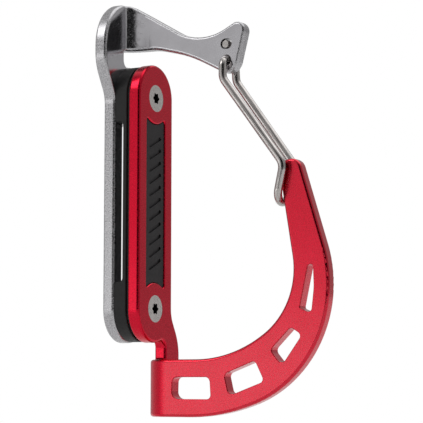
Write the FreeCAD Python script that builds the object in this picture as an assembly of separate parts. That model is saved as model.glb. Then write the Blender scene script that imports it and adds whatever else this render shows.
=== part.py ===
import FreeCAD, Part
import math
import os

# Tool holder for a climbing harness: a large hook with a sprung wire gate,
# bolted around the waist belt by two plates and a nylon spacer.
#
# Frame: the origin is the centre of the webbing slot.  +Z is up along the
# plates, +X points away from the wearer, and the nose, the hook and the wire
# gate lie around the plane Y = 0.  Millimetres.

V = FreeCAD.Vector

# ------------------------------------------------------------------ the stack
SLOT_GAP = 3.15         # room for the belt webbing, along X
SLOT_HALF_HEIGHT = 27.9
BACK_T = 4.65           # sheet of the back plate and nose
WEB_T = 1.6             # nylon web in front of the webbing
FLANGE_T = 0.7          # flange of the grip insert
FRONT_T = 4.65          # sheet of the front plate and hook

BACK_X1 = -SLOT_GAP / 2
BACK_X0 = BACK_X1 - BACK_T
WEB_X0 = SLOT_GAP / 2
FLANGE_X0 = WEB_X0 + WEB_T
FRONT_X0 = FLANGE_X0 + FLANGE_T
FRONT_X1 = FRONT_X0 + FRONT_T

PLATE_R = 11.3          # half width and end radius of the plates
PLATE_END_Z = 37.5      # height of the end radius centres
SCREW_Z = 37.0
SPACER_INSET = 0.3
SPACER_EDGE_R = 0.4
FLANGE_INSET = 1.0
SLOT_CORNER_R = 1.3

WINDOW_HALF_WIDTH = 6.0
WINDOW_END_R = 9.1      # the ends of the window are arcs around the screws
WINDOW_CORNER_R = 0.7
WINDOW_EDGE_R = 0.6
INSERT_CLEARANCE = 0.1
INSERT_RECESS = 0.4
INSERT_EDGE_R = 0.3
GRIP_COUNT = 11
GRIP_PITCH = 4.3
GRIP_WIDTH = 1.2
GRIP_LENGTH = 8.6
GRIP_DEPTH = 0.5
GRIP_TILT = 25.0

# ------------------------------------------------------------------ the lobes
# Each sheet flares from the plate width into a lobe that carries the bend:
# upwards on the -Y side of the back plate, downwards on the +Y side of the
# front plate.
FLARE_R = 10.0
FLARE_ANGLE = 30.0
SHOULDER_R = 17.0
NECK_FILLET_R = 2.4
RELIEF_R = 0.8          # inside corner between the neck and the nose or hook

BACK_FLARE_Z = 34.45
BACK_FLARE_LENGTH = 5.3
BACK_LOBE_ARCS = [(16.4, 70.0), (4.4, 20.0)]
BACK_NECK_Y = -5.0      # the bend starts at the edge of the neck
NOSE_TOP_Z = 70.4
NOSE_ROOT_Z = 54.15

FRONT_FLARE_Z = 36.55
FRONT_FLARE_LENGTH = 3.6
FRONT_LOBE_ARCS = [(8.7, 90.0)]
FRONT_NECK_Y = 7.0
HOOK_BOTTOM_Z = -74.35
HOOK_ROOT_Z = -54.6

# ------------------------------------------------------------------- the nose
NOSE_Y0 = -BACK_T / 2
NOSE_Y1 = BACK_T / 2
NOSE_BEND_X = 6.8       # the bend ends here; the nose is flat beyond it
NOSE_CORNERS = [        # side view, as corners (x, z, corner radius)
    (-0.5, NOSE_TOP_Z, 3.7),
    (27.55, 54.1, 19.5),
    (46.55, 63.8, 3.2),
    (40.85, 41.4, 4.6),
    (22.69, 50.84, 57.0),
    (9.4, NOSE_ROOT_Z, 20.5),
]

# ------------------------------------------------------------------- the hook
HOOK_Y0 = -FRONT_T / 2
HOOK_Y1 = FRONT_T / 2
HOOK_BEND_X = 14.35
HOOK_OUTER_FLAT_X = 22.9
HOOK_OUTER_ARCS = [(74.0, 20.5), (42.7, 87.0)]
HOOK_INNER_FLAT_X = 25.65
HOOK_INNER_ARCS = [(45.4, 36.1), (26.3, 63.4)]
HOOK_ARM_LENGTH = 60.0  # drawn past the tip, then cut
HOOK_TIP_X = 61.35
HOOK_TIP_Z = 12.2
HOOK_TIP_TILT = 8.0
HOOK_TIP_INNER_R = 3.6
HOOK_TIP_OUTER_R = 3.9
HOOK_HOLES = [          # lightening holes, as corners (x, z, corner radius)
    [(16.85, -60.7, 1.8), (16.55, -68.2, 2.6), (31.85, -68.2, 1.5), (31.35, -60.7, 1.8)],
    [(37.15, -59.6, 1.6), (38.95, -67.0, 1.9), (52.35, -62.1, 1.4), (48.85, -55.2, 1.4)],
    [(54.75, -51.7, 1.7), (59.05, -56.8, 1.7), (66.45, -46.8, 1.5), (62.35, -44.2, 1.5)],
    [(65.75, -37.9, 0.9), (69.95, -39.7, 1.2), (70.95, -31.0, 20.0), (70.65, -23.3, 0.9),
     (68.85, -23.6, 0.9)],
]
HOLE_EDGE_R = 0.3

BACK_EDGE_R = 1.0       # tumbled edges
FRONT_EDGE_R = 1.0

# ----------------------------------------------------------------- the screws
SCREW_R = 2.5
SCREW_LENGTH = 14.0
SCREW_CLEARANCE_R = 2.75
SCREW_HEAD_R = 4.75
SCREW_HEAD_RIM = 0.4
SCREW_HEAD_SINK = 0.05
TORX_TIP_R = 2.35
TORX_VALLEY_R = 1.5
TORX_LOBES = 6
TORX_ROUNDING = 0.4
TORX_DEPTH = 1.8

# ------------------------------------------------------------------- the gate
WIRE_R = 1.4
HINGE_X = 37.85
HINGE_Z = 47.8
SPRING_X = 37.35
SPRING_Z = 53.5
HINGE_HOLE_R = 1.5
HINGE_HOLE_SINK = 0.45
SPRING_SLOT_R = 1.85
SPRING_SLOT_X0 = 37.5
SPRING_SLOT_X1 = 38.2
WIRE_END_SINK = 0.3
WIRE_END_R = 0.3
WIRE_TOP_BEND_R = 2.6
WIRE_BEND_R = 5.0
LEG_TOP_Y = 4.6
LEG_KNEE_Y = 4.9
LEG_ELBOW_Y = 4.35
LEG_LOW_Y = 4.3
KNEE_X = 37.9
KNEE_Z = 41.15
ELBOW_X = 60.85
ELBOW_Z = 10.4
REST_X = 58.16
REST_Z = -2.1

SAME = 1e-3             # tolerance for "lies on"
FAR = 100.0             # beyond the part in every direction


class Pen:
    """Draws lines and tangent arcs in a plane; place(u, w) gives the 3-D point."""

    def __init__(self, place, u, w, heading):
        self.place = place
        self.u = u
        self.w = w
        self.heading = heading
        self.start = (u, w)
        self.edges = []

    def to(self, u, w):
        self.edges.append(Part.makeLine(self.place(self.u, self.w), self.place(u, w)))
        self.u = u
        self.w = w

    def line(self, length):
        angle = math.radians(self.heading)
        self.to(self.u + length * math.cos(angle), self.w + length * math.sin(angle))

    def arc(self, radius, sweep):
        """Turn left for a positive sweep, right for a negative one."""
        normal = math.radians(self.heading + math.copysign(90.0, sweep))
        centre = (self.u + radius * math.cos(normal), self.w + radius * math.sin(normal))
        ends = []
        for turn in (0.0, sweep / 2, sweep):
            angle = normal + math.pi + math.radians(turn)
            ends.append((centre[0] + radius * math.cos(angle),
                         centre[1] + radius * math.sin(angle)))
        curve = Part.Arc(*[self.place(*end) for end in ends])
        self.edges.append(curve.toShape())
        self.u, self.w = ends[-1]
        self.heading += sweep

    def close(self):
        self.to(*self.start)
        return Part.Face(Part.Wire(self.edges))


class BentSheet:
    """A sheet that lies at x0..x1, turns a right angle and goes on at y0..y1.

    The bend is a quarter of an oval tube around the vertical axis (bend_x,
    bend_y); the plate lies on that side of the sheet's far half.
    """

    def __init__(self, x0, x1, y0, y1, bend_x, bend_y):
        self.x0 = x0
        self.x1 = x1
        self.y0 = y0
        self.y1 = y1
        self.bend_x = bend_x
        self.bend_y = bend_y
        self.side = math.copysign(1.0, -bend_y)
        inner_y, outer_y = (y0, y1) if bend_y < 0 else (y1, y0)
        self.inner = (bend_x - x1, abs(bend_y - inner_y))
        self.outer = (bend_x - x0, abs(bend_y - outer_y))

    def oval(self, radii, z0, z1):
        curve = Part.Ellipse(V(self.bend_x, self.bend_y, z0), *radii)
        face = Part.Face(Part.Wire(curve.toShape()))
        return face.extrude(V(0, 0, z1 - z0))

    def bend(self, z0, z1):
        ring = self.oval(self.outer, z0, z1).cut(self.oval(self.inner, z0, z1))
        ys = sorted((self.bend_y, self.bend_y + self.side * self.outer[1]))
        return ring.common(box(self.x0, self.bend_x, *ys, z0, z1))

    def plate_half(self, z0, z1):
        ys = sorted((self.bend_y, -self.side * FAR))
        return box(self.x0, self.x1, *ys, z0, z1)

    def on_skin(self, p):
        if (p.y - self.bend_y) * self.side < SAME:
            return min(abs(p.x - self.x0), abs(p.x - self.x1)) < SAME
        if p.x > self.bend_x - SAME:
            return min(abs(p.y - self.y0), abs(p.y - self.y1)) < SAME
        for a, b in (self.inner, self.outer):
            reach = math.hypot((p.x - self.bend_x) / a, (p.y - self.bend_y) / b)
            if abs(reach - 1) < SAME:
                return True
        return False


def on_xz(x, z):
    return V(x, 0, z)


def on_yz(y, z):
    return V(0, y, z)


def box(x0, x1, y0, y1, z0, z1):
    return Part.makeBox(x1 - x0, y1 - y0, z1 - z0, V(x0, y0, z0))


def rod_x(radius, x0, x1, z):
    return Part.makeCylinder(radius, x1 - x0, V(x0, 0, z), V(1, 0, 0))


def rod_y(radius, y0, y1, x, z):
    return Part.makeCylinder(radius, y1 - y0, V(x, y0, z), V(0, 1, 0))


def prism(face, start, length):
    """Extrude a face by a length vector after moving it by a start vector."""
    moved = face.copy()
    moved.translate(start)
    return moved.extrude(length)


def across(face, y0, y1):
    return prism(face, V(0, y0, 0), V(0, y1 - y0, 0))


def middle_of(edge):
    return edge.valueAt((edge.FirstParameter + edge.LastParameter) / 2)


def is_sharp(shape, edge):
    """True when the two faces at the edge meet at an angle."""
    faces = shape.ancestorsOfType(edge, Part.Face)
    if len(faces) != 2:
        return False
    normals = []
    for face in faces:
        normals.append(face.normalAt(*face.Surface.parameter(middle_of(edge))))
    return abs(normals[0].dot(normals[1])) < 0.9


def tumble(shape, radius, wanted):
    """Round the sharp edges whose middle point passes the test."""
    chosen = []
    for edge in shape.Edges:
        if wanted(middle_of(edge)) and is_sharp(shape, edge):
            chosen.append(edge)
    return shape.makeFillet(radius, chosen)


def rounded_polygon(place, corners):
    """Face with corners (u, w, radius) rounded by tangent arcs; radius 0 stays sharp."""
    points = [place(u, w) for u, w, radius in corners]
    turns = []
    for i, corner in enumerate(points):
        radius = corners[i][2]
        a = (points[i - 1] - corner).normalize()
        b = (points[(i + 1) % len(points)] - corner).normalize()
        half = a.getAngle(b) / 2
        reach = radius / math.tan(half)
        depth = radius / math.sin(half) - radius
        middle = corner + (a + b).normalize() * depth
        turns.append((corner + a * reach, middle, corner + b * reach))
    edges = []
    for i, (first, middle, last) in enumerate(turns):
        if corners[i][2] > 0:
            edges.append(Part.Arc(first, middle, last).toShape())
        following = turns[(i + 1) % len(turns)][0]
        if last.distanceToPoint(following) > SAME:
            edges.append(Part.makeLine(last, following))
    return Part.Face(Part.Wire(edges))


def stadium(x0, x1, radius):
    """Plate with half-round ends."""
    body = box(x0, x1, -radius, radius, -PLATE_END_Z, PLATE_END_Z)
    for z in (-PLATE_END_Z, PLATE_END_Z):
        body = body.fuse(rod_x(radius, x0, x1, z))
    return body.removeSplitter()


def window(x0, x1, shrink):
    """Long window whose hollow ends follow the screw heads."""
    half = WINDOW_HALF_WIDTH - shrink
    body = box(x0, x1, -half, half, -SCREW_Z, SCREW_Z)
    for z in (-SCREW_Z, SCREW_Z):
        body = body.cut(rod_x(WINDOW_END_R + shrink, x0, x1, z))
    return tumble(body, WINDOW_CORNER_R,
                  lambda p: abs(p.x - (x0 + x1) / 2) < SAME and abs(abs(p.y) - half) < SAME)


def on_window_edge(face_x):
    """Test for the edges of the window that lie in the face at face_x."""
    return lambda p: (abs(p.x - face_x) < SAME and abs(p.y) < WINDOW_HALF_WIDTH + SAME
                      and abs(p.z) < SCREW_Z)


def through_both(body, radius, x0, x1):
    """Drill the two screw holes."""
    for z in (-SCREW_Z, SCREW_Z):
        body = body.cut(rod_x(radius, x0, x1, z))
    return body


def lobe_outline(side, flare_z, flare_length, arcs, neck, root, top):
    """Front view of a lobe; side 1 is the upper lobe, -1 the lower one mirrored."""
    pen = Pen(lambda u, w: V(0, side * u, side * w), -PLATE_R, flare_z, 90.0)
    pen.arc(FLARE_R, FLARE_ANGLE)
    pen.line(flare_length)
    pen.arc(SHOULDER_R, -FLARE_ANGLE)
    rise = 0.0
    heading = 90.0
    for radius, sweep in arcs:
        low = math.radians(heading - sweep)
        rise += radius * (math.cos(low) - math.cos(math.radians(heading)))
        heading -= sweep
    pen.to(pen.u, top - rise)
    for radius, sweep in arcs:
        pen.arc(radius, -sweep)
    pen.to(PLATE_R, top)
    pen.to(PLATE_R, root)
    pen.to(neck + RELIEF_R, root)
    pen.heading = 180.0
    pen.arc(RELIEF_R, 90.0)
    pen.to(neck, flare_z)
    return pen.close()


def plate_and_lobe(sheet, lobe, z0, z1):
    """The flat half of a sheet, with the round where the neck leaves the plate."""
    blank = prism(lobe, V(sheet.x0, 0, 0), V(sheet.x1 - sheet.x0, 0, 0))
    body = stadium(sheet.x0, sheet.x1, PLATE_R)
    body = body.fuse(blank.common(sheet.plate_half(z0, z1))).removeSplitter()
    neck_z = PLATE_END_Z + math.sqrt(PLATE_R ** 2 - sheet.bend_y ** 2)
    return tumble(body, NECK_FILLET_R,
                  lambda p: abs(p.y - sheet.bend_y) < SAME and abs(abs(p.z) - neck_z) < SAME
                  and sheet.x0 + SAME < p.x < sheet.x1 - SAME and z0 < p.z < z1)


def back_plate():
    sheet = BentSheet(BACK_X0, BACK_X1, NOSE_Y0, NOSE_Y1, NOSE_BEND_X, BACK_NECK_Y)
    lobe = lobe_outline(1, BACK_FLARE_Z, BACK_FLARE_LENGTH, BACK_LOBE_ARCS,
                        BACK_NECK_Y, NOSE_ROOT_Z, NOSE_TOP_Z)
    below = NOSE_ROOT_Z - PLATE_R
    corners = [(BACK_X0, below, 0), (BACK_X0, NOSE_TOP_Z, 0)] + NOSE_CORNERS
    corners = corners + [(NOSE_BEND_X, NOSE_ROOT_Z, 0), (NOSE_BEND_X, below, 0)]
    side = across(rounded_polygon(on_xz, corners), -FAR, FAR)
    mask = prism(lobe, V(BACK_X0, 0, 0), V(NOSE_BEND_X - BACK_X0, 0, 0))
    flat = box(NOSE_BEND_X, FAR, NOSE_Y0, NOSE_Y1, 0, FAR)

    body = plate_and_lobe(sheet, lobe, 0, FAR)
    body = body.fuse(sheet.bend(below, FAR).common(mask).common(side))
    body = body.fuse(flat.common(side)).removeSplitter()
    body = tumble(body, BACK_EDGE_R, sheet.on_skin)

    body = body.cut(window(BACK_X0, BACK_X1, 0))
    body = tumble(body, WINDOW_EDGE_R, on_window_edge(BACK_X1))
    body = through_both(body, SCREW_R, BACK_X0, BACK_X1)
    body = body.cut(rod_y(HINGE_HOLE_R, NOSE_Y0, NOSE_Y1, HINGE_X, HINGE_Z))
    sink = Part.makeCone(HINGE_HOLE_R + HINGE_HOLE_SINK, HINGE_HOLE_R, HINGE_HOLE_SINK,
                         V(HINGE_X, NOSE_Y0, HINGE_Z), V(0, 1, 0))
    body = body.cut(sink)
    slot = box(SPRING_SLOT_X0, SPRING_SLOT_X1, NOSE_Y0, NOSE_Y1,
               SPRING_Z - SPRING_SLOT_R, SPRING_Z + SPRING_SLOT_R)
    for x in (SPRING_SLOT_X0, SPRING_SLOT_X1):
        slot = slot.fuse(rod_y(SPRING_SLOT_R, NOSE_Y0, NOSE_Y1, x, SPRING_Z))
    return body.cut(slot).Solids[0]


def hook_outer():
    pen = Pen(on_xz, HOOK_BEND_X, HOOK_BOTTOM_Z, 0.0)
    pen.to(HOOK_OUTER_FLAT_X, HOOK_BOTTOM_Z)
    for radius, sweep in HOOK_OUTER_ARCS:
        pen.arc(radius, sweep)
    pen.line(HOOK_ARM_LENGTH)
    pen.to(HOOK_BEND_X, pen.w)
    return pen.close()


def hook_inner():
    pen = Pen(on_xz, HOOK_BEND_X - 1, HOOK_ROOT_Z, 0.0)
    pen.to(HOOK_INNER_FLAT_X, HOOK_ROOT_Z)
    for radius, sweep in HOOK_INNER_ARCS:
        pen.arc(radius, sweep)
    pen.line(HOOK_ARM_LENGTH)
    pen.to(HOOK_BEND_X - 1, pen.w)
    return pen.close()


def hook():
    """The flat half of the hook, with its tip cut and rounded."""
    body = across(hook_outer().cut(hook_inner()), HOOK_Y0, HOOK_Y1)
    above = box(-FAR, FAR, -FAR, FAR, 0, FAR)
    above.rotate(V(0, 0, 0), V(0, 1, 0), -HOOK_TIP_TILT)
    above.translate(V(HOOK_TIP_X, 0, HOOK_TIP_Z))
    body = body.cut(above)
    for radius, wanted in ((HOOK_TIP_INNER_R, lambda p: p.x < HOOK_TIP_X),
                           (HOOK_TIP_OUTER_R, lambda p: p.x > HOOK_TIP_X)):
        body = tumble(body, radius,
                      lambda p: abs(p.y) < SAME and p.z > HOOK_TIP_Z - 1 and wanted(p))
    return body


def countersunk_head(face_x):
    """The space a screw head takes below the face at face_x."""
    rim = rod_x(SCREW_HEAD_R, face_x - SCREW_HEAD_SINK - SCREW_HEAD_RIM, face_x, 0)
    depth = SCREW_HEAD_R - SCREW_R
    tip = V(face_x - SCREW_HEAD_SINK - SCREW_HEAD_RIM - depth, 0, 0)
    return rim.fuse(Part.makeCone(SCREW_R, SCREW_HEAD_R, depth, tip, V(1, 0, 0)))


def front_arm():
    sheet = BentSheet(FRONT_X0, FRONT_X1, HOOK_Y0, HOOK_Y1, HOOK_BEND_X, FRONT_NECK_Y)
    lobe = lobe_outline(-1, FRONT_FLARE_Z, FRONT_FLARE_LENGTH, FRONT_LOBE_ARCS,
                        -FRONT_NECK_Y, -HOOK_ROOT_Z, -HOOK_BOTTOM_Z)
    mask = prism(lobe, V(FRONT_X0, 0, 0), V(HOOK_BEND_X - FRONT_X0, 0, 0))

    body = plate_and_lobe(sheet, lobe, -FAR, 0)
    body = body.fuse(sheet.bend(-FAR, HOOK_ROOT_Z + PLATE_R).common(mask))
    body = body.fuse(hook()).removeSplitter()
    body = tumble(body, FRONT_EDGE_R, sheet.on_skin)

    for corners in HOOK_HOLES:
        hole = across(rounded_polygon(on_xz, corners), HOOK_Y0, HOOK_Y1)
        body = body.cut(hole)
    body = tumble(body, HOLE_EDGE_R, in_hook_holes)
    body = body.cut(window(FRONT_X0, FRONT_X1, 0))
    body = tumble(body, WINDOW_EDGE_R, on_window_edge(FRONT_X1))
    body = through_both(body, SCREW_CLEARANCE_R, FRONT_X0, FRONT_X1)
    for z in (-SCREW_Z, SCREW_Z):
        seat = countersunk_head(FRONT_X1)
        seat.translate(V(0, 0, z))
        body = body.cut(seat)
    return body.Solids[0]


def in_hook_holes(p):
    """True on the mouths of the lightening holes, well inside the hook's rims."""
    if min(abs(p.y - HOOK_Y0), abs(p.y - HOOK_Y1)) > SAME:
        return False
    for corners in HOOK_HOLES:
        xs = [corner[0] for corner in corners]
        zs = [corner[1] for corner in corners]
        if min(xs) - 1 < p.x < max(xs) + 1 and min(zs) - 1 < p.z < max(zs) + 1:
            return True
    return False


def spacer():
    radius = PLATE_R - SPACER_INSET
    body = stadium(BACK_X1, FLANGE_X0, radius)
    slot = box(BACK_X1, WEB_X0, -FAR, FAR, -SLOT_HALF_HEIGHT, SLOT_HALF_HEIGHT)
    slot = tumble(slot, SLOT_CORNER_R,
                  lambda p: abs(p.x - WEB_X0) < SAME and abs(p.y) < SAME)
    body = body.cut(slot)
    body = tumble(body, SPACER_EDGE_R,
                  lambda p: abs(abs(p.y) - radius) < SAME and abs(p.z) < SLOT_HALF_HEIGHT + SAME)
    return through_both(body, SCREW_CLEARANCE_R, BACK_X1, FLANGE_X0).Solids[0]


def grip_insert():
    """Flange clamped behind the front plate, and the grooved pad in its window."""
    face_x = FRONT_X1 - INSERT_RECESS
    pad = tumble(window(FRONT_X0, face_x, INSERT_CLEARANCE), INSERT_EDGE_R,
                 lambda p: abs(p.x - face_x) < SAME)
    for i in range(GRIP_COUNT):
        half = GRIP_LENGTH / 2 - GRIP_WIDTH / 2
        groove = box(face_x - GRIP_DEPTH, FAR, -half, half, -GRIP_WIDTH / 2, GRIP_WIDTH / 2)
        for y in (-half, half):
            groove = groove.fuse(Part.makeCylinder(GRIP_WIDTH / 2, FAR,
                                                   V(face_x - GRIP_DEPTH, y, 0), V(1, 0, 0)))
        groove.rotate(V(0, 0, 0), V(1, 0, 0), GRIP_TILT)
        groove.translate(V(0, 0, (i - (GRIP_COUNT - 1) / 2) * GRIP_PITCH))
        pad = pad.cut(groove)
    flange = stadium(FLANGE_X0, FRONT_X0, PLATE_R - FLANGE_INSET)
    flange = through_both(flange, SCREW_CLEARANCE_R, FLANGE_X0, FRONT_X0)
    return flange.fuse(pad).removeSplitter().Solids[0]


def screw(z):
    """Countersunk machine screw with a six-lobe socket."""
    head_x = FRONT_X1 - SCREW_HEAD_SINK
    body = countersunk_head(FRONT_X1).common(box(-FAR, head_x, -FAR, FAR, -FAR, FAR))
    body = body.fuse(rod_x(SCREW_R, head_x - SCREW_LENGTH, head_x, 0)).removeSplitter()
    corners = []
    for i in range(2 * TORX_LOBES):
        radius = TORX_TIP_R if i % 2 == 0 else TORX_VALLEY_R
        angle = math.pi * i / TORX_LOBES
        corners.append((radius * math.cos(angle), radius * math.sin(angle), TORX_ROUNDING))
    socket = rounded_polygon(on_yz, corners)
    body = body.cut(prism(socket, V(head_x - TORX_DEPTH, 0, 0), V(TORX_DEPTH, 0, 0)))
    body.translate(V(0, 0, z))
    return body.Solids[0]


def wire_along(stops):
    """Round wire through (point, bend radius) stops, with tangent bends."""
    edges = []
    last = stops[0][0]
    for i in range(1, len(stops) - 1):
        corner, radius = stops[i]
        a = (stops[i - 1][0] - corner).normalize()
        b = (stops[i + 1][0] - corner).normalize()
        half = a.getAngle(b) / 2
        reach = radius / math.tan(half)
        depth = radius / math.sin(half) - radius
        first = corner + a * reach
        edges.append(Part.makeLine(last, first))
        last = corner + b * reach
        middle = corner + (a + b).normalize() * depth
        edges.append(Part.Arc(first, middle, last).toShape())
    edges.append(Part.makeLine(last, stops[-1][0]))
    spine = Part.Wire(edges)
    start = stops[0][0]
    section = Part.Wire(Part.makeCircle(WIRE_R, start, stops[1][0] - start))
    return spine.makePipeShell([section], True, True)


def leg(side):
    """Corners of one leg, from the knee down to the bottom bend."""
    return [
        (V(KNEE_X, side * LEG_KNEE_Y, KNEE_Z), WIRE_BEND_R),
        (V(ELBOW_X, side * LEG_ELBOW_Y, ELBOW_Z), WIRE_BEND_R),
        (V(REST_X, side * LEG_LOW_Y, REST_Z), LEG_LOW_Y - 0.1),
    ]


def split_point():
    """Where the far leg passes the height of the hinge axis."""
    low = V(KNEE_X, LEG_KNEE_Y, KNEE_Z)
    high = V(SPRING_X, LEG_TOP_Y, SPRING_Z)
    return low + (high - low) * ((HINGE_Z - KNEE_Z) / (SPRING_Z - KNEE_Z))


def gate_wire():
    pin_end = V(HINGE_X, NOSE_Y1 - WIRE_END_SINK, HINGE_Z)
    top = V(HINGE_X, -LEG_TOP_Y, HINGE_Z)
    stops = [(pin_end, 0), (top, WIRE_TOP_BEND_R)] + leg(-1) + leg(1)[::-1]
    stops.append((split_point(), 0))
    body = wire_along(stops)
    body = tumble(body, WIRE_END_R, lambda p: abs(p.y - pin_end.y) < SAME)
    return body.Solids[0]


def gate_wire_spring_end():
    pin_end = V(SPRING_X, NOSE_Y0 + WIRE_END_SINK, SPRING_Z)
    top = V(SPRING_X, LEG_TOP_Y, SPRING_Z)
    body = wire_along([(pin_end, 0), (top, WIRE_TOP_BEND_R), (split_point(), 0)])
    body = tumble(body, WIRE_END_R, lambda p: abs(p.y - pin_end.y) < SAME)
    return body.Solids[0]


def save(shape, name):
    shape.exportStep("parts/%s.step" % name)


os.makedirs("parts", exist_ok=True)
save(back_plate(), "back_plate")
save(front_arm(), "front_arm")
save(spacer(), "spacer")
save(grip_insert(), "grip_insert")
save(screw(SCREW_Z), "screw_upper")
save(screw(-SCREW_Z), "screw_lower")
save(gate_wire(), "gate_wire")
save(gate_wire_spring_end(), "gate_wire_spring_end")
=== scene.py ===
import math

import bpy
from mathutils import Matrix, Vector


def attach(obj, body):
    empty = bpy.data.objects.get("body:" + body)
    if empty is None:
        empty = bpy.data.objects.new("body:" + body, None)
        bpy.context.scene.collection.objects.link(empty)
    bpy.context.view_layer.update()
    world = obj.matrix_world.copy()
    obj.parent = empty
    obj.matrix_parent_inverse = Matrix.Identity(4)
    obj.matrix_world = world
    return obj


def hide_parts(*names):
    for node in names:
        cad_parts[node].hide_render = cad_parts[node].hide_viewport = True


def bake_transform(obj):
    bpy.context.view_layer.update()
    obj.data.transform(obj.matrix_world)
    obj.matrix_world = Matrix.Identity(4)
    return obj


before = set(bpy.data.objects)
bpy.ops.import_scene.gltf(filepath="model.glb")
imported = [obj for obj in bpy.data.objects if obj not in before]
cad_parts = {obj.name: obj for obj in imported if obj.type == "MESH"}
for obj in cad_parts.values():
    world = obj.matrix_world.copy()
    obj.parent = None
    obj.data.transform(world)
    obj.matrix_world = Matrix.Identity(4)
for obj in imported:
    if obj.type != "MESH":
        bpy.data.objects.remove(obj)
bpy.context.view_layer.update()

MM = 0.001

# ---------------------------------------------------------------- shader tools
class Graph:
    """Adds nodes to a node tree; a value given for an input is set or linked."""

    def __init__(self, tree):
        self.tree = tree
        tree.nodes.clear()

    def put(self, socket, value):
        if isinstance(value, bpy.types.NodeSocket):
            self.tree.links.new(value, socket)
        elif hasattr(socket.default_value, "__len__") and not hasattr(value, "__len__"):
            socket.default_value = [value] * len(socket.default_value)
        elif hasattr(value, "__len__") and len(socket.default_value) == 4 and len(value) == 3:
            socket.default_value = (*value, 1.0)
        else:
            socket.default_value = value

    def add(self, kind, inputs=(), **settings):
        node = self.tree.nodes.new(kind)
        for key, value in settings.items():
            setattr(node, key, value)
        items = inputs.items() if isinstance(inputs, dict) else enumerate(inputs)
        for key, value in items:
            self.put(node.inputs[key], value)
        return node

    def math(self, operation, *values):
        return self.add("ShaderNodeMath", values, operation=operation).outputs[0]

    def vector(self, operation, *values):
        node = self.add("ShaderNodeVectorMath", values, operation=operation)
        return node.outputs["Value" if operation in ("DOT_PRODUCT", "LENGTH") else "Vector"]

    def split(self, vector):
        return self.add("ShaderNodeSeparateXYZ", (vector,)).outputs

    def ramp(self, value, low, high, out_low=0.0, out_high=1.0):
        node = self.add("ShaderNodeMapRange", interpolation_type="SMOOTHSTEP")
        for i, x in enumerate((value, low, high, out_low, out_high)):
            self.put(node.inputs[i], x)
        return node.outputs[0]

    def mix(self, factor, a, b):
        """Mix two numbers."""
        node = self.add("ShaderNodeMix", data_type="FLOAT")
        for i, x in ((0, factor), (2, a), (3, b)):
            self.put(node.inputs[i], x)
        return node.outputs[0]

    def tint(self, factor, a, b):
        """Mix two colours."""
        node = self.add("ShaderNodeMix", data_type="RGBA")
        for i, x in ((0, factor), (6, a), (7, b)):
            self.put(node.inputs[i], x)
        return node.outputs[2]

    def noise(self, vector, scale, detail, roughness):
        return self.add("ShaderNodeTexNoise", {
            "Vector": vector, "Scale": scale, "Detail": detail, "Roughness": roughness,
        }).outputs[0]

    def bump(self, height, distance, strength):
        return self.add("ShaderNodeBump", {
            "Height": height, "Distance": distance, "Strength": strength,
        }).outputs[0]


def material(name):
    made = bpy.data.materials.new(name)
    made.use_nodes = True
    return made, Graph(made.node_tree)


def surface(graph, **inputs):
    """Principled shader with the given inputs (underscores stand for spaces)."""
    shader = graph.add("ShaderNodeBsdfPrincipled")
    for key, value in inputs.items():
        graph.put(shader.inputs[key.replace("_", " ")], value)
    graph.add("ShaderNodeOutputMaterial", (shader.outputs[0],))


def place(graph):
    return graph.add("ShaderNodeTexCoord").outputs["Object"]


def true_normal(graph):
    return graph.add("ShaderNodeNewGeometry").outputs["True Normal"]


def face_mask(graph, where, bend_x, bend_y, bend_z, sign):
    """1 on the two faces of a bent sheet, 0 on its edges and rounds.

    The sheet is flat beyond bend_x; the bend lies past bend_y and bend_z on
    the side that sign gives.
    """
    x, y, z = graph.split(where)
    nx, ny, nz = [graph.math("ABSOLUTE", n) for n in graph.split(true_normal(graph))]
    flat = graph.math("GREATER_THAN", x, bend_x)
    past = graph.math("GREATER_THAN", graph.math("MULTIPLY", y, sign), bend_y * sign)
    high = graph.math("GREATER_THAN", graph.math("MULTIPLY", z, sign), bend_z * sign)
    bend = graph.math("MULTIPLY", past, high)
    sheet = graph.mix(bend, nx, graph.math("SUBTRACT", 1.0, nz))
    sheet = graph.mix(flat, sheet, ny)
    return graph.ramp(sheet, 0.975, 0.998)


def blend_normals(graph, face, on_edges, on_faces):
    node = graph.add("ShaderNodeMix", data_type="VECTOR")
    for i, x in ((0, face), (4, on_edges), (5, on_faces)):
        graph.put(node.inputs[i], x)
    return node.outputs[1]


# ------------------------------------------------------------------- materials
# Places on the CAD parts where a finish or the painted socket shade changes, in millimetres.
NOSE_BEND_X = 6.8       # the nose is flat beyond this
BACK_NECK_Y = -5.0
NOSE_LOW_Z = 53.0
HOOK_BEND_X = 14.35     # the hook is flat beyond this
FRONT_NECK_Y = 7.0
HOOK_ROOT_Z = -54.6
SCREW_Z = 37.0
SOCKET_SHADE_R = 2.6
SOCKET_SHADE_X0 = 8.15        # painted shade in the screw socket below this height, plain metal above the next
SOCKET_SHADE_X1 = 8.38
RING_PITCH = 0.16       # turning rings on the screw heads


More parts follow.
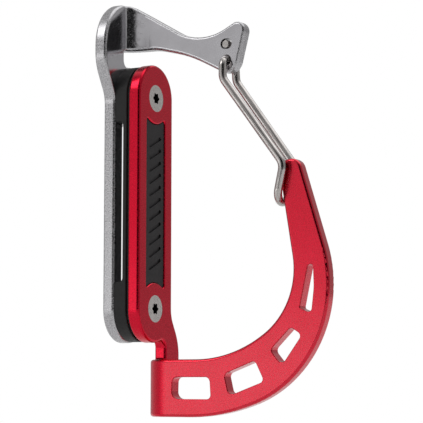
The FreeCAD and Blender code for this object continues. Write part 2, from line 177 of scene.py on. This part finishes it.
def polished_aluminium():
    """Polished faces with a fine grain, duller pitted edges."""
    made, g = material("polished_aluminium")
    where = place(g)
    face = face_mask(g, where, NOSE_BEND_X * MM, BACK_NECK_Y * MM, NOSE_LOW_Z * MM, 1.0)
    pits = g.noise(where, 2300.0, 3.0, 0.6)
    grain = g.noise(where, 3600.0, 2.0, 0.5)
    broad = g.noise(where, 160.0, 2.0, 0.5)
    rough_edge = g.ramp(pits, 0.3, 0.7, 0.2, 0.36)
    rough_face = g.ramp(broad, 0.3, 0.7, 0.13, 0.19)
    normal = blend_normals(g, face, g.bump(pits, 0.02 * MM, 0.7), g.bump(grain, 0.003 * MM, 0.5))
    bright = g.tint(broad, (0.52, 0.51, 0.53), (0.57, 0.56, 0.585))
    dull = g.tint(g.ramp(pits, 0.35, 0.65), (0.34, 0.335, 0.345), (0.52, 0.515, 0.53))
    surface(g, Base_Color=g.tint(face, dull, bright), Metallic=1.0,
            Roughness=g.mix(face, rough_edge, rough_face), Normal=normal)
    return made


def red_anodised():
    """Blasted and dyed aluminium; the hook is glossier than the plate."""
    made, g = material("red_anodised")
    where = place(g)
    face = face_mask(g, where, HOOK_BEND_X * MM, FRONT_NECK_Y * MM, HOOK_ROOT_Z * MM, -1.0)
    blast = g.noise(where, 3000.0, 2.0, 0.6)
    pits = g.noise(where, 1500.0, 2.0, 0.5)
    broad = g.noise(where, 120.0, 2.0, 0.5)
    normal = blend_normals(g, face, g.bump(pits, 0.008 * MM, 0.4), g.bump(blast, 0.012 * MM, 0.5))
    gloss = g.ramp(g.split(where)[0], 12.0 * MM, 14.5 * MM, 0.15, 0.6)
    surface(g, Base_Color=g.tint(broad, (0.57, 0.005, 0.024), (0.64, 0.008, 0.034)), Metallic=1.0,
            Roughness=g.mix(face, g.ramp(pits, 0.3, 0.7, 0.18, 0.3),
                            g.ramp(blast, 0.3, 0.7, 0.22, 0.34)),
            Normal=normal, Coat_Weight=gloss, Coat_Roughness=0.1)
    return made


def moulded(name, colour, roughness, scale, depth):
    """Matte plastic or rubber with a fine mould texture."""
    made, g = material(name)
    where = place(g)
    fine = g.noise(where, scale, 3.0, 0.6)
    broad = g.noise(where, 90.0, 2.0, 0.5)
    pale = tuple(min(1.0, c * 1.35) for c in colour)
    surface(g, Base_Color=g.tint(broad, colour, pale),
            Roughness=g.ramp(fine, 0.3, 0.7, roughness - 0.06, roughness + 0.08),
            Normal=g.bump(fine, depth, 0.7), Specular_IOR_Level=0.3)
    return made


def turned_steel(name, z):
    """Screw at height z: turned and worn head; its socket and shank are painted near black as
    shade.
    """
    made, g = material(name)
    where = place(g)
    flat = g.vector("MULTIPLY", g.vector("SUBTRACT", where, (0.0, 0.0, z)), (0.0, 1.0, 1.0))
    radius = g.vector("LENGTH", flat)
    rings = g.math("SINE", g.math("MULTIPLY", radius, 2 * math.pi / (RING_PITCH * MM)))
    wear = g.noise(where, 900.0, 3.0, 0.6)
    height = g.math("ADD", g.math("MULTIPLY", rings, 0.25), wear)
    metal = g.tint(wear, (0.55, 0.52, 0.50), (0.68, 0.65, 0.63))
    # Painted shade: below the head face and inside the socket radius, the colour turns near black
    # to stand in for the recess's shade.
    below_face = g.ramp(g.split(where)[0], SOCKET_SHADE_X0 * MM, SOCKET_SHADE_X1 * MM, 1.0, 0.0)
    painted_socket_shade = g.math("MULTIPLY", below_face, g.math("LESS_THAN", radius, SOCKET_SHADE_R * MM))
    surface(g, Base_Color=g.tint(painted_socket_shade, metal, (0.035, 0.032, 0.03)), Metallic=1.0,
            Roughness=g.ramp(wear, 0.3, 0.7, 0.24, 0.38), Normal=g.bump(height, 0.006 * MM, 0.6))
    return made


def drawn_wire():
    """Spring wire: fine lines run along it, in the tube's own coordinates."""
    made, g = material("drawn_wire")
    uv = g.add("ShaderNodeTexCoord").outputs["UV"]
    lines = g.noise(g.vector("MULTIPLY", uv, (5000.0, 90.0, 0.0)), 1.0, 3.0, 0.65)
    stain = g.noise(g.vector("MULTIPLY", uv, (350.0, 120.0, 0.0)), 1.0, 2.0, 0.5)
    clean = g.tint(stain, (0.50, 0.47, 0.455), (0.64, 0.61, 0.59))
    streaked = g.tint(g.ramp(lines, 0.36, 0.52), (0.17, 0.155, 0.15), clean)
    surface(g, Base_Color=streaked, Metallic=1.0,
            Roughness=g.ramp(lines, 0.3, 0.7, 0.12, 0.28), Normal=g.bump(lines, 0.01 * MM, 0.4))
    return made


def dress(node, made):
    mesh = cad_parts[node].data
    mesh.materials.clear()
    mesh.materials.append(made)


dress("back_plate", polished_aluminium())
dress("front_arm", red_anodised())
dress("spacer", moulded("nylon", (0.008, 0.0078, 0.0078), 0.5, 1400.0, 0.012 * MM))
dress("grip_insert", moulded("grip_rubber", (0.011, 0.0095, 0.0105), 0.45, 1900.0, 0.01 * MM))
dress("screw_upper", turned_steel("screw_upper_steel", SCREW_Z * MM))
dress("screw_lower", turned_steel("screw_lower_steel", -SCREW_Z * MM))

# ------------------------------------------------------------------ wire gate
# The same path as the CAD wire.  The stretch above the far knee is a piece of its own, not attached
# to the gate.
WIRE_R = 1.4
HINGE = (37.85, 47.8)
SPRING = (37.35, 53.5)
KNEE = (37.9, 41.15)
ELBOW = (60.85, 10.4)
REST = (58.16, -2.1)
TOP_Y, KNEE_Y, ELBOW_Y, LOW_Y = 4.6, 4.9, 4.35, 4.3
PIN_Y = 2.025           # the wire ends stop just short of the nose's opposite face
TOP_BEND_R = 2.6
LEG_BEND_R = 5.0
LOOP_BEND_R = LOW_Y - 0.1
KNEE_REACH = 5.0        # the knee's bend ends within this height above the knee
SEAM_STEPS = 10
BEND_STEP = math.radians(4.0)
SIDES = 40
END_ROUND = 0.3


def wire_stops():
    """Corners of the wire from the hinge end to the spring end, with bend radii."""
    def leg(side):
        return [
            (Vector((KNEE[0], side * KNEE_Y, KNEE[1])), LEG_BEND_R),
            (Vector((ELBOW[0], side * ELBOW_Y, ELBOW[1])), LEG_BEND_R),
            (Vector((REST[0], side * LOW_Y, REST[1])), LOOP_BEND_R),
        ]

    near = [(Vector((HINGE[0], PIN_Y, HINGE[1])), 0.0),
            (Vector((HINGE[0], -TOP_Y, HINGE[1])), TOP_BEND_R)]
    far = [(Vector((SPRING[0], TOP_Y, SPRING[1])), TOP_BEND_R),
           (Vector((SPRING[0], -PIN_Y, SPRING[1])), 0.0)]
    return near + leg(-1) + leg(1)[::-1] + far


def wire_path(stops):
    """Points along the wire, with the bends as arcs."""
    points = [stops[0][0]]
    for i in range(1, len(stops) - 1):
        corner, radius = stops[i]
        a = (stops[i - 1][0] - corner).normalized()
        b = (stops[i + 1][0] - corner).normalized()
        half = a.angle(b) / 2
        centre = corner + (a + b).normalized() * (radius / math.sin(half))
        first = corner + a * (radius / math.tan(half)) - centre
        sweep = math.pi - 2 * half
        axis = a.cross(b).normalized()
        steps = max(2, round(sweep / BEND_STEP))
        for k in range(steps + 1):
            turn = Matrix.Rotation(-sweep * k / steps, 3, axis)
            points.append(centre + turn @ first)
    points.append(stops[-1][0])
    return points


def rings_along(points, side):
    """Rings of the tube: (centre, across, up, along, distance, radius)."""
    rings = []
    across = side
    travelled = 0.0
    for i, point in enumerate(points):
        before = points[max(i - 1, 0)]
        after = points[min(i + 1, len(points) - 1)]
        along = (after - before).normalized()
        across = (across - along * across.dot(along)).normalized()
        if i:
            travelled += (point - before).length
        rings.append((point, across.copy(), along.cross(across), along, travelled, WIRE_R))
    return rings


def rounded_end(ring, outward):
    """Rings that round off the cut end; outward is 1 at the last ring, -1 at the first."""
    centre, across, up, along, travelled, radius = ring
    rings = []
    for turn in (0, 30, 60, 90):
        angle = math.radians(turn)
        back = END_ROUND * (1 - math.sin(angle))
        inset = END_ROUND * (1 - math.cos(angle))
        rings.append((centre - along * outward * back, across, up, along, travelled,
                      radius - inset))
    return rings[::outward]


def tube(name, points, side, start_cap, end_cap, offset=0.0):
    """Round wire as a mesh; capped ends are slightly rounded."""
    rings = rings_along(points, side)
    if end_cap:
        rings = rings[:-1] + rounded_end(rings[-1], 1)
    if start_cap:
        rings = rounded_end(rings[0], -1) + rings[1:]
    vertices = []
    for centre, across, up, along, travelled, radius in rings:
        for k in range(SIDES):
            angle = 2 * math.pi * k / SIDES
            spoke = across * math.cos(angle) + up * math.sin(angle)
            vertices.append((centre + spoke * radius) * MM)
    faces = []
    uvs = []
    side_length = 2 * math.pi * WIRE_R * MM / SIDES
    for i in range(len(rings) - 1):
        low = (rings[i][4] + offset) * MM
        high = (rings[i + 1][4] + offset) * MM
        for k in range(SIDES):
            m = (k + 1) % SIDES
            faces.append((i * SIDES + k, i * SIDES + m, (i + 1) * SIDES + m, (i + 1) * SIDES + k))
            u0 = k * side_length
            u1 = (k + 1) * side_length
            uvs += [(u0, low), (u1, low), (u1, high), (u0, high)]
    for wanted, index, order in ((start_cap, 0, -1), (end_cap, len(rings) - 1, 1)):
        if wanted:
            ring = [index * SIDES + k for k in range(SIDES)][::order]
            faces.append(tuple(ring))
            for v in ring:
                local = vertices[v] - rings[index][0] * MM
                uvs.append((local.dot(rings[index][1]), local.dot(rings[index][2])))
    mesh = bpy.data.meshes.new(name)
    mesh.from_pydata(vertices, [], faces)
    layer = mesh.uv_layers.new(name="UVMap")
    for loop, uv in zip(layer.data, uvs):
        loop.uv = uv
    for polygon in mesh.polygons:
        polygon.use_smooth = len(polygon.vertices) == 4
    mesh.validate()
    piece = bpy.data.objects.new(name, mesh)
    bpy.context.scene.collection.objects.link(piece)
    return piece


def far_split(points):
    """Index of the last point of the far knee's bend."""
    low = [i for i, point in enumerate(points) if point.z < KNEE[1] + KNEE_REACH]
    return low[-1]


wire_points = wire_path(wire_stops())
cut = far_split(wire_points)
start, stop = wire_points[cut:cut + 2]
seam_points = [start.lerp(stop, k / SEAM_STEPS) for k in range(SEAM_STEPS + 1)]
gate_points = wire_points[:cut + 1]
end_points = seam_points + wire_points[cut + 2:]
length = sum((b - a).length for a, b in zip(gate_points, gate_points[1:]))

wire_material = drawn_wire()
up_axis = Vector((0, 0, 1))
gate_piece = tube("gate_wire_bent", gate_points, up_axis, True, False)
seam_side = rings_along(gate_points, up_axis)[-1][1]
end_piece = tube("gate_wire_far_end", end_points, seam_side, False, True, length)
for piece in (gate_piece, end_piece):
    piece.data.materials.append(wire_material)
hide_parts("gate_wire")
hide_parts("gate_wire_spring_end")
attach(gate_piece, "gate")
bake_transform(end_piece)

# ------------------------------------------------------------------ the stage
FLOOR_Z = -0.30
FLOOR_R = 5.0
FLOOR_SIDES = 96


def build_floor():
    made, g = material("floor_white")
    where = place(g)
    tone = g.noise(where, 2.0, 2.0, 0.5)
    surface(g, Base_Color=g.tint(tone, (0.90, 0.90, 0.90), (0.92, 0.92, 0.92)), Roughness=0.9)
    ring = []
    for k in range(FLOOR_SIDES):
        angle = 2 * math.pi * k / FLOOR_SIDES
        ring.append((FLOOR_R * math.cos(angle), FLOOR_R * math.sin(angle), FLOOR_Z))
    mesh = bpy.data.meshes.new("floor")
    mesh.from_pydata(ring, [], [tuple(range(FLOOR_SIDES))])
    mesh.materials.append(made)
    floor = bpy.data.objects.new("floor", mesh)
    bpy.context.scene.collection.objects.link(floor)


def towards(azimuth, elevation):
    """Unit vector; azimuth 0 is +X and 90 is +Y."""
    a, e = math.radians(azimuth), math.radians(elevation)
    return Vector((math.cos(a) * math.cos(e), math.sin(a) * math.cos(e), math.sin(e)))


# Studio around the object: (azimuth, elevation, inner angle, outer angle, strength added),
# in degrees.  The dark card multiplies the light by its last value instead.
STUDIO_BASE = 0.42
STUDIO_LIGHTS = [
    (-126.0, 40.0, 10.0, 17.0, 3.0),     # soft box, upper left front
    (60.0, 70.0, 20.0, 42.0, 1.2),       # overhead, from behind
    (-150.0, 10.0, 40.0, 80.0, 0.18),    # paper sweep, left
    (-125.0, -40.0, 41.0, 45.0, 1.6),    # low card, left front
]
STUDIO_DARK = (-58.0, 6.0, 31.0, 40.0, 0.04)

CAMERA_PLACE = (334.25, -536.2, -63.3)
CAMERA_TURN = (29.5, 5.5, 0.1)           # azimuth, elevation and roll, in degrees
SENSOR_WIDTH = 36.0
LENS_RATIO = 4.2553                      # focal length over sensor width


def cap(g, way, azimuth, elevation, inner, outer, at_rim, at_centre):
    """Round patch of sky that fades between its inner and outer angle."""
    near = g.vector("DOT_PRODUCT", way, towards(azimuth, elevation))
    return g.ramp(near, math.cos(math.radians(outer)), math.cos(math.radians(inner)),
                  at_rim, at_centre)


def build_world():
    world = bpy.data.worlds.new("studio")
    world.use_nodes = True
    g = Graph(world.node_tree)
    way = g.vector("NORMALIZE", g.add("ShaderNodeTexCoord").outputs["Generated"])
    light = STUDIO_BASE
    for azimuth, elevation, inner, outer, strength in STUDIO_LIGHTS:
        light = g.math("ADD", light, cap(g, way, azimuth, elevation, inner, outer, 0.0, strength))
    azimuth, elevation, inner, outer, left_over = STUDIO_DARK
    light = g.math("MULTIPLY", light, cap(g, way, azimuth, elevation, inner, outer, 1.0, left_over))
    seen = g.add("ShaderNodeLightPath").outputs["Is Camera Ray"]
    background = g.add("ShaderNodeBackground", {
        "Color": (1.0, 1.0, 1.0), "Strength": g.mix(seen, light, 1.0),
    })
    g.add("ShaderNodeOutputWorld", (background.outputs[0],))
    bpy.context.scene.world = world


def build_camera():
    """Three-quarter view from slightly below, through a long lens."""
    azimuth, elevation, roll = [math.radians(a) for a in CAMERA_TURN]
    ahead = Vector((-math.sin(azimuth) * math.cos(elevation),
                    math.cos(azimuth) * math.cos(elevation), math.sin(elevation)))
    right = Vector((math.cos(azimuth), math.sin(azimuth), 0.0))
    up = right.cross(ahead)
    right_rolled = right * math.cos(roll) + up * math.sin(roll)
    up_rolled = up * math.cos(roll) - right * math.sin(roll)
    data = bpy.data.cameras.new("camera")
    data.sensor_width = SENSOR_WIDTH
    data.lens = LENS_RATIO * SENSOR_WIDTH
    data.clip_start = 0.01
    camera = bpy.data.objects.new("camera", data)
    pose = Matrix((right_rolled, up_rolled, -ahead)).transposed().to_4x4()
    pose.translation = Vector(CAMERA_PLACE) * MM
    camera.matrix_world = pose
    bpy.context.scene.collection.objects.link(camera)
    bpy.context.scene.camera = camera


build_floor()
build_world()
build_camera()
bpy.context.scene.view_settings.view_transform = "Standard"
